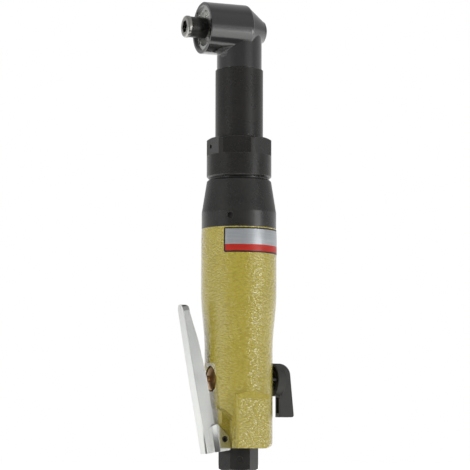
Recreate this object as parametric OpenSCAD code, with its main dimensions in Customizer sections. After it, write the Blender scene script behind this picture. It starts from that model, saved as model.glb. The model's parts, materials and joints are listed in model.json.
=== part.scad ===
// Pneumatic angle screwdriver, millimetres.
// Z runs along the tool, from the air inlet at the bottom to the angle head at the top.
// The output spindle and the throttle lever are on the -X side, the reversing knob on the +X side
// and the valve pad of the handle on the -Y side.
// The origin is the centre of the inlet's bottom face.

/* [Air inlet] */
// Width of the inlet hexagon across its flats
inlet_flats = 19; // [18:0.5:20]
// Height of the inlet hexagon
inlet_hex_h = 12; // [10:0.5:14]
// Chamfer round the inlet's lower corners
inlet_chamfer = 1.8; // [0.5:0.1:3]
// Radius of the threaded air hole, at the tapping size of a quarter inch pipe thread
inlet_thread_r = 5.9; // [5.5:0.1:6.2]
// Depth of the threaded air hole
inlet_thread_h = 11; // [8:0.5:13]
// Radius of the spigot that screws into the handle
inlet_spigot_r = 7; // [6.6:0.1:7.4]
// Height of the spigot that screws into the handle
inlet_spigot_h = 12; // [8:0.5:16]
// Radius of the air passage above the thread
inlet_bore_r = 4; // [3:0.1:4.6]
// Radius of the dimple in one face of the hexagon
inlet_dimple_r = 1.7; // [1:0.1:2.5]
// Depth of that dimple
inlet_dimple_h = 0.8; // [0.3:0.1:1.2]
// Wall of the cup shaped air strainer
screen_wall = 0.5; // [0.4:0.1:0.8]
// Height of the air strainer
screen_h = 8; // [6:0.5:10]

/* [Handle] */
// Radius of the lower part of the grip
grip_r = 18.8; // [18.4:0.1:19.6]
// How much larger than the grip the handle gets
belly_swell = 2.1; // [1.8:0.1:3.2]
// How much the handle draws in again towards the motor cap
mouth_draw = 0.2; // [0.1:0.1:0.6]
// Length of the straight lower grip
grip_h = 54; // [50:1:58]
// Length over which the grip swells to its largest radius
swell_h = 32; // [24:1:40]
// Length of the widest part
belly_h = 29; // [20:1:36]
// Length of the slight taper under the motor cap
mouth_h = 6; // [3:0.5:9]
// Rounding of the handle's bottom edge
base_round = 3.5; // [2:0.1:4.5]
// Radius of the bore that holds the motor
motor_bore_r = 16.5; // [16.2:0.1:16.9]
// Height of the motor bore's floor above the handle's base
motor_floor_h = 53; // [51:0.5:54]
// Radius of the thread in the handle's mouth
mouth_thread_r = 18; // [17.6:0.1:18.4]
// Length of the thread in the handle's mouth
mouth_thread_h = 9.5; // [8:0.5:11]

/* [Valve pad] */
// Distance of the pad's front face from the tool axis
pad_front = 21.4; // [20.8:0.1:22.5]
// Half the width of the pad
pad_half = 9.8; // [8.5:0.1:10.5]
// Height of the front face's top edge above the handle's base
pad_face_h = 26.9; // [24:0.5:30]
// Height of the pad's sides above the handle's base
pad_side_h = 29; // [27:0.5:31]
// Height of the ridge in the middle of the pad's top
pad_ridge_h = 31.4; // [30:0.5:34]
// Rounding of the pad's upright edges
pad_round = 1.2; // [0.5:0.1:2]
// Width of the exhaust mouth under the pad
exhaust_w = 13; // [9:0.5:15]
// Depth of the exhaust mouth, front to back
exhaust_d = 5; // [4:0.5:5.5]
// Height of the exhaust mouth's chamber
exhaust_h = 12; // [9:0.5:14]
// Radius of the exhaust passage to the motor
exhaust_r = 2.6; // [2:0.1:2.8]

/* [Lever seat on the handle] */
// Distance of the flat under the lever from the tool axis, at the valve axis
flat_x = 16.6; // [16.3:0.1:16.9]
// Outward lean of that flat, degrees
flat_lean = 4; // [3:0.5:5]
// Height of the flat's upper ledge above the handle's base
flat_h = 46.5; // [45:0.5:48]
// Distance of the hinge lug's front from the tool axis
lug_x = 14.1; // [13.9:0.1:14.3]
// Half the width of the hinge lug
lug_half = 7.2; // [6.6:0.1:7.4]
// Chamfer on the lug's front corners
lug_chamfer = 1.3; // [0.8:0.1:1.5]
// Distance of the ear pockets' back wall from the tool axis
pocket_x = 6.9; // [6.7:0.1:7.2]
// Height of the pockets' ceiling at the lug's front, above the handle's base
pocket_h = 21.5; // [20:0.5:23]

/* [Throttle lever] */
// Thickness of the lever's sheet
lever_sheet = 1; // [0.8:0.1:1.2]
// Lean of the released lever from the tool axis, degrees
lever_lean = 9.86; // [9:0.1:11]
// Distance of the lever's outer web from the hinge axis
lever_reach = 10.56; // [10:0.1:11]
// Length of the lever above the hinge axis
lever_up = 76.5; // [70:0.5:80]
// Length of the lever below the hinge axis
lever_down = 6.4; // [5.5:0.1:6.6]
// Half the width of the lever at the hinge
lever_half = 5; // [4.6:0.1:5.4]
// Taper of each side of the lever towards its tip, degrees
lever_taper = 0.75; // [0.2:0.05:1]
// Radius of the lever's bent corners
lever_bend = 1.6; // [1.1:0.1:2]
// Depth of the flanges at the lever's foot
flange_foot = 5.4; // [5:0.1:5.8]
// Depth of the flanges where they are deepest
flange_deep = 7.6; // [7:0.1:8]
// Depth of the flanges near the tip
flange_tip = 3.7; // [3:0.1:4.5]
// Gap between the hinge lug and each ear
ear_gap = 0.2; // [0.1:0.05:0.4]
// Distance from the hinge axis to the ear's free edge
ear_edge = 2.6; // [2.4:0.05:2.8]
// Radius of the hinge pin
hinge_r = 1.6; // [1.4:0.1:1.7]
// Distance of the hinge axis from the tool axis
hinge_x = 11.6; // [11.5:0.1:11.8]
// Height of the hinge axis above the handle's base
hinge_h = 5; // [4.6:0.1:5.4]

/* [Throttle valve] */
// Height of the valve axis above the handle's base
valve_h = 38; // [37:0.5:39]
// Radius of the cross bore that holds both valves
valve_bore_r = 5.5; // [5.2:0.1:5.8]
// Radius of the bronze bush's domed head
bush_head_r = 6.3; // [6:0.1:6.6]
// Height of the rim of that head over its seat
bush_rim_h = 2; // [1.6:0.1:2.1]
// Height of the dome over the rim
bush_dome_h = 1.4; // [0.8:0.1:1.5]
// Width of the groove round the head
bush_groove = 0.8; // [0.4:0.1:1]
// Depth of the head's seat below the flat
bush_seat = 2.1; // [1.7:0.1:2.4]
// Length of the bush inside the cross bore
bush_len = 8; // [7:0.5:9]
// Radius of the throttle pin
throttle_pin_r = 1.75; // [1.5:0.05:1.9]
// Gap between the throttle pin's tip and the released lever
lever_gap = 0.24; // [0.15:0.01:0.4]
// Radius of the valve disc on the throttle pin
valve_disc_r = 4.2; // [3.8:0.1:4.6]
// Thickness of the valve disc
valve_disc_h = 2; // [1.5:0.1:2.4]
// Wire diameter of the throttle spring
valve_wire = 0.8; // [0.6:0.1:0.9]

/* [Reversing valve] */
// Distance of the spool's inner end from the tool axis
spool_x = 2; // [1.5:0.1:2.5]
// Length of the spool
spool_len = 13.6; // [13:0.1:13.8]
// Thickness of the ring that holds the spool in its bore
ring_h = 1; // [0.8:0.1:1.2]
// Radius of the spool's stem, which carries the knob
stem_r = 4; // [3.5:0.1:4.2]
// Gap between the handle and the knob's inner face
knob_gap = 1.4; // [1.2:0.1:1.8]
// Radius of the knob's hub
knob_hub_r = 9.1; // [8.6:0.1:9.5]
// Thickness of the knob's hub
knob_hub_h = 4.5; // [4:0.1:5]
// Thickness of the finger blade
blade_w = 6; // [5:0.1:6.5]
// Reach of the blade over the hub's outer face, at the valve axis
blade_out = 5.3; // [4.5:0.1:6]
// Extra reach of the blade at its lower end
blade_flare = 2.1; // [1:0.1:2.5]
// Length of the blade below the valve axis
blade_down = 20.6; // [18:0.2:22]
// Radius of the stop pin
stop_r = 1; // [0.8:0.1:1.1]
// Distance of the stop pin from the valve axis
stop_x = 6.6; // [6.2:0.1:6.9]
// Turn of the knob from forward to reverse, degrees
knob_turn = 90; // [80:1:95]

/* [Air motor] */
// Thickness of the rear end plate
rear_plate_h = 7; // [6.8:0.1:7.5]
// Length of the cylinder liner and the rotor
liner_h = 40; // [38:0.5:40.5]
// Thickness of the front end plate
front_plate_h = 7.5; // [7:0.1:7.5]
// Radius of the cylinder liner's bore
liner_bore_r = 13.5; // [13.3:0.1:13.6]
// Offset of that bore from the tool axis
liner_offset = 1.75; // [1.6:0.05:1.8]
// Radius of the rotor
rotor_r = 11.5; // [11:0.1:11.6]
// Number of vanes
vane_count = 5; // [4:1:6]
// Thickness of a vane
vane_w = 1.6; // [1.3:0.1:2]
// Radial height of a vane
vane_h = 6; // [5:0.1:6.3]
// Bore radius of the small ball bearings
small_bearing_in = 3; // [2.8:0.1:3.2]
// Outer radius of the small ball bearings
small_bearing_out = 9.5; // [9.2:0.1:9.8]
// Width of the small ball bearings
small_bearing_w = 6; // [5:0.1:6]

/* [Planetary gears] */
// Module of the planetary gears
gear_module = 0.8; // [0.76:0.01:0.82]
// Face width of the planet gears
planet_w = 12; // [10:0.5:13]
// Backlash of every gear mesh
backlash = 0.12; // [0.1:0.01:0.16]
// Radius of the planet pins
planet_pin_r = 2; // [1.8:0.1:2.2]
// Thickness of the planet carrier's disc
carrier_h = 6; // [5:0.1:6]
// Radius of the carrier's hub
carrier_hub_r = 6; // [5.8:0.1:6.2]
// Outer radius of the carrier bearing
carrier_bearing_out = 14; // [13.6:0.1:14.2]
// Width of the carrier bearing
carrier_bearing_w = 8; // [7:0.1:8]
// Width across the flats of the carrier's output hexagon
carrier_flats = 8; // [7:0.1:9]

/* [Motor cap] */
// Height of the cap's cylindrical band
cap_band_h = 9; // [7:0.5:11]
// Height of the cap's tapered part
cap_taper_h = 17.5; // [15:0.5:19]
// Radius of the cap at the top of its taper
cap_top_r = 17.9; // [17.4:0.1:18.4]
// Chamfer at the cap's top edge
cap_chamfer = 0.9; // [0.4:0.1:1.2]
// Radius of the spanner holes in the band
spanner_r = 1.75; // [1.4:0.05:2]
// Depth of the spanner holes
spanner_h = 2.2; // [1.5:0.1:2.4]
// Radius of the thread that carries the coupling nut
neck_thread_r = 15.5; // [15.2:0.1:15.7]
// Height of the groove between the cap and the coupling nut
nut_groove = 1; // [0.6:0.1:1.4]

/* [Coupling nut] */
// Radius of the nut's round part
nut_r = 18; // [17.6:0.1:18.3]
// Height of the nut's round part
nut_round_h = 12.7; // [11:0.1:14]
// Height of the nut's hexagon
nut_hex_h = 9.5; // [8.5:0.1:10.5]
// Width of the nut across its flats
nut_flats = 32.5; // [31:0.5:33]
// Turn of the nut's flats, degrees
nut_turn = 3; // [0:1:59]
// Thickness of the nut's end wall
nut_wall = 5; // [4.5:0.1:5.3]

/* [Neck tube] */
// Outer radius of the neck tube
neck_r = 13.3; // [13:0.1:13.5]
// Inner radius of the neck tube
neck_bore_r = 11; // [10.9:0.05:11.1]
// Height of the neck tube above the coupling nut
neck_h = 38.9; // [36:0.1:41]
// Radius of the neck tube's clamped flange
neck_flange_r = 14.6; // [14.2:0.1:14.9]

/* [Torque clutch] */
// Outer radius of the clutch jaws
clutch_r = 10.4; // [10:0.1:10.5]
// Height of the clutch teeth
clutch_tooth_h = 2; // [1.6:0.1:2]
// Number of clutch teeth
clutch_teeth = 3; // [2:1:5]
// Wire diameter of the clutch spring
clutch_wire = 2; // [1.6:0.1:2.2]
// Turns of the clutch spring
clutch_turns = 6; // [5:1:7]
// Width across the flats of the clutch shaft's hexagon
shaft_flats = 9; // [8.6:0.1:9.2]
// Height of the clutch adjusting nut
adjuster_h = 6; // [5:0.5:7]

/* [Angle head] */
// Outer radius of the head's barrel
head_r = 14.5; // [14.3:0.1:15]
// Distance of the barrel's front face from the tool axis
head_front = 22.5; // [22.2:0.1:22.8]
// Distance of the barrel's rear edge from the tool axis
head_back = 3.4; // [2.6:0.1:4.2]
// Rounding of that edge
head_edge = 1.6; // [1:0.1:2]
// Length of the cone behind that edge
head_cone = 9.6; // [9:0.1:10.4]
// Radius of the rounded end behind the cone
head_end_r = 6.6; // [6.2:0.1:7]
// Height of the rounded end
head_end_h = 2.6; // [2.2:0.1:3]
// Outer radius of the head's stem
stem_out_r = 12.5; // [12:0.1:12.7]
// Height of the spindle axis above the neck tube
head_rise = 22.4; // [22:0.1:22.8]
// Radius of the head's stem spigot, inside the neck tube
spigot_r = 11.45; // [11.3:0.05:11.6]
// Length of that spigot
spigot_h = 14.5; // [13:0.5:16]
// Outer radius of the retaining ring in the barrel's mouth
retainer_r = 12.6; // [12.4:0.1:12.8]
// Inner radius of the retaining ring
retainer_in_r = 10; // [9.7:0.1:10.2]
// Thickness of the retaining ring
retainer_h = 2.7; // [2.4:0.1:3]
// Depth of the retaining ring below the barrel's front face
retainer_sink = 1.3; // [1.1:0.1:1.6]
// Outer radius of the spindle bearing
spindle_bearing_out = 11; // [10.9:0.05:11.1]
// Bore radius of the spindle bearing
spindle_bearing_in = 5; // [4.9:0.05:5.1]
// Width of the spindle bearing
spindle_bearing_w = 6; // [5.5:0.1:6]
// Outer radius of the bronze bush behind the bevel wheel
rear_bush_r = 5; // [4.6:0.1:5.4]
// Length of that bush
rear_bush_h = 7; // [6:0.5:7.5]

/* [Bevel gears] */
// Module of the bevel gears at their large end
bevel_module = 1.1; // [1.05:0.01:1.12]
// Face width of the bevel gears
bevel_face = 4; // [3.5:0.1:4.2]
// Radius of the spindle where the bevel wheel is pressed on
spindle_seat_r = 4; // [3.8:0.1:4.2]

/* [Spindle and chuck] */
// Width across the flats of the bit socket, for quarter inch hexagon bits
socket_flats = 6.45; // [6.4:0.01:6.5]
// Depth of the bit socket
socket_h = 19; // [16:0.5:19.5]
// Distance of the spindle's end face from the barrel's front face
nose_out = 10.5; // [10:0.5:11.5]
// Radius of the spindle's nose
nose_r = 4.7; // [4.6:0.05:4.8]
// Outer radius of the chuck's sliding sleeve
sleeve_r = 5.8; // [5.7:0.05:6]
// Length of the sliding sleeve
sleeve_h = 9.8; // [9:0.1:9.9]
// Travel of the sliding sleeve
sleeve_travel = 1.8; // [1.5:0.1:1.8]
// Radius of the bright end collar
collar_r = 6.15; // [6:0.05:6.4]
// Thickness of the end collar
collar_h = 2.7; // [2.4:0.1:3]
// Radius of the ball that holds the bit
bit_ball_r = 1.1; // [1:0.05:1.1]
// Wire diameter of the chuck spring
chuck_wire = 0.4; // [0.3:0.05:0.45]

/* [Hidden] */
$fn = 64;

// Radial clearance of a running fit
run = 0.05;
// Gap between faces that turn past each other
play = 0.15;
// Overrun of a cut past the face that it opens
over = 1;

// Heights of the main faces, from the bottom up
base_z = inlet_hex_h;
hinge_z = base_z + hinge_h;
valve_z = base_z + valve_h;
motor_z = base_z + motor_floor_h;
handle_top = base_z + grip_h + swell_h + belly_h + mouth_h;
belly_r = grip_r + belly_swell;
mouth_r = belly_r - mouth_draw;
liner_z = motor_z + rear_plate_h;
front_plate_z = liner_z + liner_h;
gear_z = front_plate_z + front_plate_h;
planet_z = gear_z + play * 6;
planet_top = planet_z + planet_w;
carrier_z = planet_top + play * 3;
carrier_bearing_z = carrier_z + carrier_h + play * 4;
bearing_shoulder_z = carrier_bearing_z + carrier_bearing_w;
cap_edge_z = handle_top + cap_band_h;
cap_top = cap_edge_z + cap_taper_h + cap_chamfer;
nut_z = cap_top + nut_groove;
nut_top = nut_z + nut_round_h + nut_hex_h;
nut_shoulder = nut_top - nut_wall;
neck_top = nut_top + neck_h;
flange_z = nut_z + nut_round_h - play;
spindle_z = neck_top + head_rise;

// Gear teeth: counts, pressure angle in degrees, and tooth heights as shares of the module
sun_teeth = 12;
planet_teeth = 12;
ring_teeth = sun_teeth + 2 * planet_teeth;
pinion_teeth = 12;
wheel_teeth = 17;
pressure_angle = 25;
addendum_share = 0.95;
dedendum_share = 1.2;
flank_steps = 4;
gear_distance = gear_module * (sun_teeth + planet_teeth) / 2;
planet_count = 3;
pinion_cone = atan(pinion_teeth / wheel_teeth);
wheel_cone = 90 - pinion_cone;

// Colours
olive = [0.68, 0.62, 0.29];
black_steel = [0.12, 0.12, 0.12];
knob_black = [0.2, 0.2, 0.2];
polished = [0.8, 0.81, 0.82];
steel = [0.6, 0.61, 0.63];
bronze = [0.66, 0.47, 0.3];
rubber = [0.08, 0.08, 0.08];
vane_resin = [0.45, 0.32, 0.2];

// Points along an arc, from one angle to another
function arc(centre, r, from, to, steps) =
  [for (i = [0:steps]) centre + r * [cos(from + (to - from) * i / steps),
                                     sin(from + (to - from) * i / steps)]];

// Smooth rise from 0 to 1
function ease(t) = t * t * (3 - 2 * t);

// Involute function, in degrees
function involute(a) = tan(a) * 180 / PI - a;

// Half the angle of a tooth at radius r
function tooth_half(teeth, m, thin, r) =
  let (pitch_r = teeth * m / 2, base_r = pitch_r * cos(pressure_angle))
  90 / teeth - thin / 2 / pitch_r * 180 / PI + involute(pressure_angle)
    - (r > base_r ? involute(acos(base_r / r)) : 0);

// One flank of a tooth from root to tip, as pairs of radius and half angle
function flank(teeth, m, up, down, thin) =
  let (pitch_r = teeth * m / 2, base_r = pitch_r * cos(pressure_angle),
       root_r = pitch_r - down, tip_r = pitch_r + up, start_r = max(root_r, base_r))
  concat(
    root_r < base_r ? [[root_r, tooth_half(teeth, m, thin, base_r)]] : [],
    [for (i = [0:flank_steps])
      let (r = start_r + (tip_r - start_r) * i / flank_steps) [r, tooth_half(teeth, m, thin, r)]]);

// Both flanks of every tooth, in order round the gear, as pairs of radius and angle
function teeth_round(teeth, side, widen) =
  let (n = len(side))
  [for (t = [0:teeth - 1], k = [0:2 * n - 1])
    k < n ? [side[k][0], t * 360 / teeth - side[k][1] * widen]
          : [side[2 * n - 1 - k][0], t * 360 / teeth + side[2 * n - 1 - k][1] * widen]];

function spur_outline(teeth, m, up, down, thin) =
  [for (p = teeth_round(teeth, flank(teeth, m, up, down, thin), 1)) p[0] * [cos(p[1]), sin(p[1])]];

// Gear blank with involute teeth, standing on the XY plane
module spur(teeth, m, h, thin) {
  linear_extrude(h)
    polygon(spur_outline(teeth, m, m * addendum_share, m * dedendum_share, thin));
}

// Bevel gear whose axis is Z, with its pitch cone's tip at the origin and its body below
module bevel(teeth, m, cone, face, thin) {
  pitch_r = teeth * m / 2;
  virtual = teeth / cos(cone);
  virtual_r = pitch_r / cos(cone);
  side = flank(virtual, m, m * addendum_share, m * dedendum_share, thin);
  outline = teeth_round(teeth, side, virtual / teeth);
  n = len(outline);
  slant = pitch_r / sin(cone);
  near_share = (slant - face) / slant;
  large = [for (p = outline)
    let (r = pitch_r + (p[0] - virtual_r) * cos(cone))
    [r * cos(p[1]), r * sin(p[1]), (p[0] - virtual_r) * sin(cone) - pitch_r / tan(cone)]];
  back_z = -pitch_r / tan(cone) - m * dedendum_share;
  polyhedron(
    points = concat(large, large * near_share, [[0, 0, back_z], [0, 0, back_z * near_share]]),
    faces = concat(
      [for (i = [0:n - 1]) [i, n + i, n + (i + 1) % n, (i + 1) % n]],
      [for (i = [0:n - 1]) [2 * n, i, (i + 1) % n]],
      [for (i = [0:n - 1]) [2 * n + 1, n + (i + 1) % n, n + i]]));
}

// Tube along Z from z0 to z1
module tube(outer, inner, z0, z1) {
  translate([0, 0, z0])
    difference() {
      cylinder(r = outer, h = z1 - z0);
      translate([0, 0, -over])
        cylinder(r = inner, h = z1 - z0 + 2 * over);
    }
}

// Solid rod along Z from z0 to z1
module rod(r, z0, z1) {
  translate([0, 0, z0])
    cylinder(r = r, h = z1 - z0);
}

// Hexagonal prism along Z from z0 to z1
module hex(flats, z0, z1) {
  translate([0, 0, z0])
    rotate(30)
      cylinder(r = flats / 2 / cos(30), h = z1 - z0, $fn = 6);
}

// Turns its children so that their Z axis lies along X
module along_x(z) {
  translate([0, 0, z])
    rotate([0, 90, 0])
      children();
}

// Unbroken round wire wound round Z, from z = 0 to z = h, in steps of a turn
module coil(mean_r, wire, turns, h, steps) {
  rings = turns * steps;
  sides = 6;
  rise = (h - wire) / rings;
  points = [for (i = [0:rings], k = [0:sides - 1])
    let (a = i * 360 / steps, b = k * 360 / sides, r = mean_r + wire / 2 * cos(b))
    [r * cos(a), r * sin(a), wire / 2 + i * rise + wire / 2 * sin(b)]];
  last = rings * sides;
  polyhedron(
    points = points,
    faces = concat(
      [for (i = [0:rings - 1], k = [0:sides - 1])
        [i * sides + k, i * sides + (k + 1) % sides,
         (i + 1) * sides + (k + 1) % sides]],
      [for (i = [0:rings - 1], k = [0:sides - 1])
        [i * sides + k, (i + 1) * sides + (k + 1) % sides, (i + 1) * sides + k]],
      [[for (k = [0:sides - 1]) sides - 1 - k]],
      [[for (k = [0:sides - 1]) last + k]]));
}

// Ball bearing standing on the XY plane, its two rings and its balls as separate solids
module ball_bearing(inner, outer, w, balls) {
  ball_r = (outer - inner) * 0.26;
  mid_r = (outer + inner) / 2;
  land_r = ball_r * 0.55;
  module groove() {
    rotate_extrude()
      translate([mid_r, w / 2])
        circle(r = ball_r + play / 5);
  }
  difference() {
    tube(outer, mid_r + land_r, 0, w);
    groove();
  }
  difference() {
    tube(mid_r - land_r, inner, 0, w);
    groove();
  }
  for (i = [0:balls - 1])
    rotate(i * 360 / balls)
      translate([mid_r, 0, w / 2])
        sphere(r = ball_r);
}

// Air inlet

module inlet_bushing() {
  color(black_steel)
    difference() {
      union() {
        intersection() {
          rotate(inlet_turn)
            hex(inlet_flats, 0, inlet_hex_h);
          cylinder(r1 = inlet_flats / 2 / cos(30) - inlet_chamfer,
                   r2 = inlet_flats / 2 / cos(30) - inlet_chamfer + inlet_hex_h * 2,
                   h = inlet_hex_h);
        }
        rod(inlet_spigot_r, inlet_hex_h - over, inlet_hex_h + inlet_spigot_h);
      }
      rod(inlet_thread_r, -over, inlet_thread_h);
      rod(inlet_bore_r, inlet_thread_h - over, inlet_hex_h + inlet_spigot_h + over);
      translate([0, 0, screen_z])
        rod(screen_r, 0, inlet_spigot_h);
      rotate(inlet_turn)
        translate([0, 0, inlet_hex_h / 2])
          rotate([0, 90, 0])
            rod(inlet_dimple_r, inlet_flats / 2 - inlet_dimple_h, inlet_flats / 2 + over);
    }
}

// The inlet's marked face looks towards the pad's left side
inlet_turn = 252.5;
screen_r = inlet_bore_r + screen_wall;
screen_z = inlet_hex_h + inlet_spigot_h - screen_h;

// Cup shaped strainer with rows of drilled holes, seated in the top of the spigot
module inlet_screen() {
  hole_r = screen_h / 12;
  color(steel)
    difference() {
      rod(screen_r, screen_z, screen_z + screen_h);
      rod(screen_r - screen_wall, screen_z + screen_wall, screen_z + screen_h + over);
      for (a = [0:60:300])
        rotate(a)
          translate([screen_r * 0.5, 0, screen_z - over])
            cylinder(r = hole_r, h = screen_wall + 2 * over);
    }
}

// Handle

handle_profile = concat(
  [[0, base_z], [grip_r - base_round, base_z]],
  arc([grip_r - base_round, base_z + base_round], base_round, -90, 0, 6),
  [for (i = [0:12])
    [grip_r + (belly_r - grip_r) * ease(i / 12), base_z + grip_h + swell_h * i / 12]],
  [[belly_r, handle_top - mouth_h], [mouth_r, handle_top], [0, handle_top]]);

// House shaped pad on the front of the handle, with a sloped face above it
module valve_pad() {
  slope = (pad_ridge_h - pad_face_h) / (pad_front - grip_r);
  inner_y = grip_r / 2;
  intersection() {
    translate([0, -inner_y, 0])
      rotate([90, 0, 0])
        linear_extrude(pad_front - inner_y)
          polygon(concat(
            [[-pad_half, base_z]],
            arc([pad_half - base_round, base_z + base_round], base_round, -90, 0, 6),
            [[pad_half, base_z + pad_side_h], [0, base_z + pad_ridge_h],
             [-pad_half, base_z + pad_side_h]]));
    translate([-pad_half, 0, 0])
      rotate([90, 0, 90])
        linear_extrude(2 * pad_half)
          polygon([[-pad_front, base_z], [0, base_z],
                   [0, base_z + pad_face_h + pad_front * slope],
                   [-pad_front, base_z + pad_face_h]]);
    translate([0, 0, base_z])
      linear_extrude(pad_ridge_h)
        polygon(concat(
          [[pad_half, 0], [-pad_half, 0]],
          arc([pad_round - pad_half, pad_round - pad_front], pad_round, 180, 270, 4),
          arc([pad_half - pad_round, pad_round - pad_front], pad_round, 270, 360, 4)));
  }
}

// Space for one ear of the lever, beside the hinge lug on the -Y side
module ear_pocket() {
  far = grip_r * 1.5;
  corner = pad_round * 1.2;
  wall = pad_half + play;
  reach_y = grip_r * cos(asin(wall / grip_r)) - corner;
  intersection() {
    translate([0, 0, base_z - over])
      linear_extrude(flat_h)
        polygon(concat(
          [[-far, -lug_half]],
          arc([-pocket_x - corner, -lug_half - corner], corner, 90, 0, 4),
          [[-wall, -reach_y], [-wall, -far], [-far, -far]]));
    rotate([90, 0, 0])
      linear_extrude(far)
        polygon([[-far, base_z - over], [0, base_z - over],
                 [0, base_z + pocket_h - lug_x], [-far, base_z + pocket_h - lug_x + far]]);
  }
}

// Position along X of the flat under the lever, at height h above the handle's base
function flat_in(h) = (valve_h - h) * tan(flat_lean) - flat_x;

module handle_housing() {
  far = grip_r * 1.5;
  color(olive)
    difference() {
      union() {
        rotate_extrude($fn = 96)
          polygon(handle_profile);
        valve_pad();
      }
      // Flat under the lever, and the lug's front below it
      translate([0, far, base_z])
        rotate([90, 0, 0])
          linear_extrude(2 * far)
            polygon([[-far, pocket_h - over], [flat_in(pocket_h), pocket_h - over],
                     [flat_in(pocket_h), pocket_h], [flat_in(flat_h), flat_h], [-far, flat_h]]);
      translate([-lug_x, 0, base_z - over])
        linear_extrude(pocket_h + over)
          polygon([[-far, -lug_half - over], [lug_chamfer + over, -lug_half - over],
                   [0, lug_chamfer - lug_half], [0, lug_half - lug_chamfer],
                   [lug_chamfer + over, lug_half + over], [-far, lug_half + over]]);
      ear_pocket();
      mirror([0, 1, 0])
        ear_pocket();
      // Hinge bore
      translate([-hinge_x, 0, hinge_z])
        rotate([90, 0, 0])
          cylinder(r = hinge_r, h = 2 * lug_half + 2 * over, center = true);
      // Motor bore and the thread in the mouth
      rod(motor_bore_r, motor_z, handle_top + over);
      rod(mouth_thread_r, handle_top - mouth_thread_h, handle_top + over);
      // Cross bore of the valves, with the bush's seat and the retaining ring's groove
      along_x(valve_z) {
        rod(valve_bore_r, -far, far);
        rod(bush_head_r + bush_groove, -far, bush_seat - flat_x);
        rod(ring_groove_r, spool_end - play / 3, spool_end + ring_h + play / 3);
        translate([0, -stop_x, 0])
          rod(stop_r, stop_in_x, far);
      }
      // Air passages: inlet to valves, valves to motor
      rod(inlet_spigot_r, base_z - over, base_z + inlet_spigot_h);
      rod(inlet_bore_r - screen_wall, base_z + inlet_spigot_h - over, valve_z);
      translate([-bush_port_x, 0, 0])
        rod(port_r, valve_z, motor_z + over);
      translate([spool_port_x, 0, 0])
        rod(port_r, valve_z, motor_z + over);
      // Exhaust passage and its mouth in the bottom face
      translate([0, -exhaust_y, 0])
        rod(exhaust_r, base_z, motor_z + over);
      translate([0, -exhaust_y, base_z - over])
        linear_extrude(exhaust_h + over)
          exhaust_plan(0);
    }
}

exhaust_y = grip_r - exhaust_d / 2 - pad_round - play;
bush_port_x = flat_x - bush_seat - bush_len + valve_disc_h;
spool_port_x = spool_x + spool_len / 2;
port_r = valve_bore_r * 0.4;
spool_end = spool_x + spool_len;
ring_groove_r = valve_bore_r + ring_h * 0.7;
knob_x = grip_r + knob_gap;
stop_in_x = knob_x - 3.5 * stop_r;

// Outline of the exhaust mouth, a slot with round ends, made smaller by a gap
module exhaust_plan(gap) {
  end_r = exhaust_d / 2 - gap;
  half = (exhaust_w - exhaust_d) / 2;
  polygon(concat(arc([half, 0], end_r, -90, 90, 8), arc([-half, 0], end_r, 90, 270, 8)));
}

module exhaust_silencer() {
  color(bronze)
    translate([0, -exhaust_y, base_z + exhaust_h * 0.35])
      linear_extrude(exhaust_h * 0.6)
        exhaust_plan(play / 3);
}

// Throttle lever

lever_width_foot = lug_half + ear_gap;
joggle_in = lever_reach - hinge_r * 3.4;
joggle_out = lever_reach - hinge_r * 2.25;

// Places its children in the lever's own frame: Z up the web, X from the web to the handle
module on_lever() {
  translate([-hinge_x, 0, hinge_z])
    rotate([0, -lever_lean, 0])
      children();
}

// Solid bar with one rounded corner, as half of the lever's outside or inside
module lever_half_bar(half, skin) {
  bend = lever_bend - skin;
  depth = lever_reach + ear_edge;
  translate([-lever_reach + skin, 0, -lever_down - over])
    rotate([lever_taper, 0, 0])
      linear_extrude(lever_up + lever_down + 2 * over)
        polygon(concat(
          [[depth, lever_sheet], [0, lever_sheet]],
          arc([bend, bend - half], bend, 180, 270, 5),
          [[depth, -half]]));
}

// Envelope of the lever, drawn in by skin
module lever_body(skin) {
  half = lever_half - skin;
  end_r = half - lever_up * tan(lever_taper);
  intersection() {
    union() {
      lever_half_bar(half, skin);
      mirror([0, 1, 0])
        lever_half_bar(half, skin);
    }
    translate([-lever_reach - over, 0, 0])
      rotate([90, 0, 90])
        linear_extrude(lever_reach + ear_edge + 2 * over)
          polygon(concat(
            arc([0, lever_up - end_r - skin], end_r, 0, 180, 10),
            [[-lever_half, -lever_down - skin * 2], [lever_half, -lever_down - skin * 2]]));
  }
}

// Side view of the flanges: deepest above the ears, shallow and round at the tip
module flange_side(skin) {
  rotate([90, 0, 0])
    translate([-lever_reach, 0, -lever_width_foot * 2])
      linear_extrude(lever_width_foot * 4)
        polygon(concat(
          [[skin - over * 2, -lever_down - over], [flange_foot, -lever_down - over],
           [flange_foot, hinge_r * 2], [flange_deep, hinge_r * 6],
           [flange_deep * 0.96, lever_up * 0.45], [flange_deep * 0.78, lever_up * 0.72],
           [flange_tip, lever_up * 0.92]],
          arc([flange_tip * 0.45, lever_up - flange_tip * 0.75], flange_tip * 0.55, 20, 90, 4),
          [[skin - over * 2, lever_up]]));
}

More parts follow.
